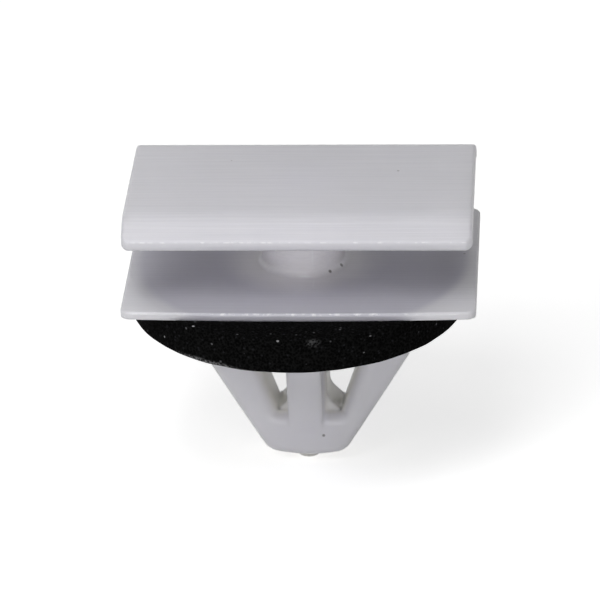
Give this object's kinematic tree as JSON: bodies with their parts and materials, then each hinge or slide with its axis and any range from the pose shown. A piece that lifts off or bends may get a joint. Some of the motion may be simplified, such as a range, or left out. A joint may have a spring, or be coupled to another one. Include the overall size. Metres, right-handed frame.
{
  "type": "molding clip",
  "caption": "Push-in clip for a body molding: an arched head plate and a flange joined by a round neck, with a slotted snap-in wedge below and a foam ring as its seal.",
  "frame": {"origin": "on the clip's axis where the seal's underside meets the outside of the body panel", "axes": "+Z out of the panel towards the head plate, X along the moulding, which is the plates' long side"},
  "size_m": [0.025, 0.0242, 0.022],
  "materials": {
    "nylon": "natural nylon as moulded, satin, slightly translucent",
    "foam": "die-cut closed-cell foam, matte"
  },
  "bodies": {
    "root": {"clip_body": "nylon", "seal_washer": "foam"}
  },
  "joints": []
}
